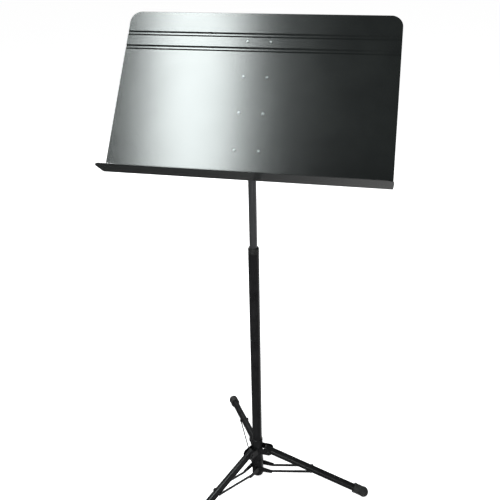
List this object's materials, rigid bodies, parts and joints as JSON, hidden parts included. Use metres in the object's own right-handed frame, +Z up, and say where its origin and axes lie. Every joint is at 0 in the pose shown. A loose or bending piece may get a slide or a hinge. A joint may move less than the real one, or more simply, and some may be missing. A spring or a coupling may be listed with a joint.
{
  "type": "music stand",
  "caption": "Free-standing music stand: bent-sheet desk with a shelf, tilting and swivelling on a telescoping pole with a folding tripod base.",
  "frame": {"origin": "the point on the floor under the pole's axis", "axes": "+Z up along the pole, the desk faces -Y, +X to the right of somebody reading from it"},
  "size_m": [0.5165, 0.4577, 1.0462],
  "materials": {
    "desk_powder_coat": "fine-textured satin black powder coat on aluminium sheet",
    "desk_rivet_black": "satin black, coated with the desk",
    "black_enamel": "semi-gloss black enamel on steel",
    "shaft_grey": "grey satin steel with a fine drawn grain",
    "zinc_steel": "zinc plated",
    "rivet_black": "black oxide steel",
    "strap_black": "black enamel on steel strap",
    "nylon_black": "moulded black nylon",
    "nylon_natural": "moulded natural nylon",
    "foot_rubber": "matt moulded black rubber"
  },
  "bodies": {
    "pole_base": {"outer_tube": "black_enamel", "clutch_cap": "nylon_black", "clutch_collet": "nylon_natural", "clutch_band": "zinc_steel", "base_hub": "black_enamel", "hub_rivet": "rivet_black", "hub_brace_pins": "rivet_black"},
    "shaft_guide": {"guide_bush": "nylon_natural"},
    "inner_shaft": {"inner_tube": "shaft_grey", "shaft_top_plug": "nylon_black", "shaft_end_plug": "nylon_black", "shaft_clip": "zinc_steel"},
    "tilt_neck": {"tilt_head": "black_enamel", "tilt_friction_washers": "nylon_natural"},
    "desk": {"desk_panel": "desk_powder_coat", "desk_rivets": "desk_rivet_black", "desk_bracket": "black_enamel", "tilt_bolt": "zinc_steel", "tilt_spring_washer": "zinc_steel", "tilt_lock_nut": "zinc_steel"},
    "collar": {"leg_collar": "black_enamel", "leg_pivot_pins": "rivet_black"},
    "leg_1": {"leg_tube_1": "black_enamel", "leg_end_plug_1": "nylon_black", "leg_rivet_1": "rivet_black", "foot_1": "foot_rubber"},
    "brace_1": {"brace_strap_1_left": "strap_black", "brace_strap_1_right": "strap_black", "brace_studs_1": "rivet_black"},
    "leg_2": {"leg_tube_2": "black_enamel", "leg_end_plug_2": "nylon_black", "leg_rivet_2": "rivet_black", "foot_2": "foot_rubber"},
    "brace_2": {"brace_strap_2_left": "strap_black", "brace_strap_2_right": "strap_black", "brace_studs_2": "rivet_black"},
    "leg_3": {"leg_tube_3": "black_enamel", "leg_end_plug_3": "nylon_black", "leg_rivet_3": "rivet_black", "foot_3": "foot_rubber"},
    "brace_3": {"brace_strap_3_left": "strap_black", "brace_strap_3_right": "strap_black", "brace_studs_3": "rivet_black"}
  },
  "joints": [
    {"name": "height_slide", "type": "slide", "parent": "pole_base", "child": "shaft_guide", "axis": [0, 0, 1], "range_m": [-0.18, 0.325]},
    {"name": "desk_swivel", "type": "hinge", "parent": "shaft_guide", "child": "inner_shaft", "pos_m": [0, 0, 0.233], "axis": [0, 0, 1], "continuous": true},
    {"name": "desk_lift_off", "type": "slide", "parent": "inner_shaft", "child": "tilt_neck", "axis": [0, 0, 1], "range_m": [0, 0.04]},
    {"name": "desk_tilt", "type": "hinge", "parent": "tilt_neck", "child": "desk", "pos_m": [0, 0, 0.859], "axis": [-1, 0, 0], "range_deg": [-38.7, 51.3]},
    {"name": "collar_slide", "type": "slide", "parent": "pole_base", "child": "collar", "axis": [0, 0, 1], "range_m": [0, 0.1471]},
    {"name": "leg_fold_1", "type": "hinge", "parent": "collar", "child": "leg_1", "pos_m": [0.02745, -0.00158, 0.0884], "axis": [0.0576, 0.9983, 0], "range_deg": [0, 70.99]},
    {"name": "brace_fold_1", "type": "hinge", "parent": "pole_base", "child": "brace_1", "pos_m": [0.03344, -0.00193, 0.03], "axis": [-0.0576, -0.9983, 0], "range_deg": [0, 79.82]},
    {"name": "leg_fold_2", "type": "hinge", "parent": "collar", "child": "leg_2", "pos_m": [-0.01236, 0.02457, 0.0884], "axis": [-0.8934, -0.4493, 0], "range_deg": [0, 70.99]},
    {"name": "brace_fold_2", "type": "hinge", "parent": "pole_base", "child": "brace_2", "pos_m": [-0.01505, 0.02993, 0.03], "axis": [0.8934, 0.4493, 0], "range_deg": [0, 79.82]},
    {"name": "leg_fold_3", "type": "hinge", "parent": "collar", "child": "leg_3", "pos_m": [-0.0151, -0.02298, 0.0884], "axis": [0.8358, -0.549, 0], "range_deg": [0, 70.99]},
    {"name": "brace_fold_3", "type": "hinge", "parent": "pole_base", "child": "brace_3", "pos_m": [-0.01839, -0.028, 0.03], "axis": [-0.8358, 0.549, 0], "range_deg": [0, 79.82]}
  ],
  "couplings": [
    {"joint": "leg_fold_1", "follows": "collar_slide", "rad_per_m": 8.4168},
    {"joint": "brace_fold_1", "follows": "collar_slide", "rad_per_m": 9.4648},
    {"joint": "leg_fold_2", "follows": "collar_slide", "rad_per_m": 8.4168},
    {"joint": "brace_fold_2", "follows": "collar_slide", "rad_per_m": 9.4648},
    {"joint": "leg_fold_3", "follows": "collar_slide", "rad_per_m": 8.4168},
    {"joint": "brace_fold_3", "follows": "collar_slide", "rad_per_m": 9.4648}
  ]
}
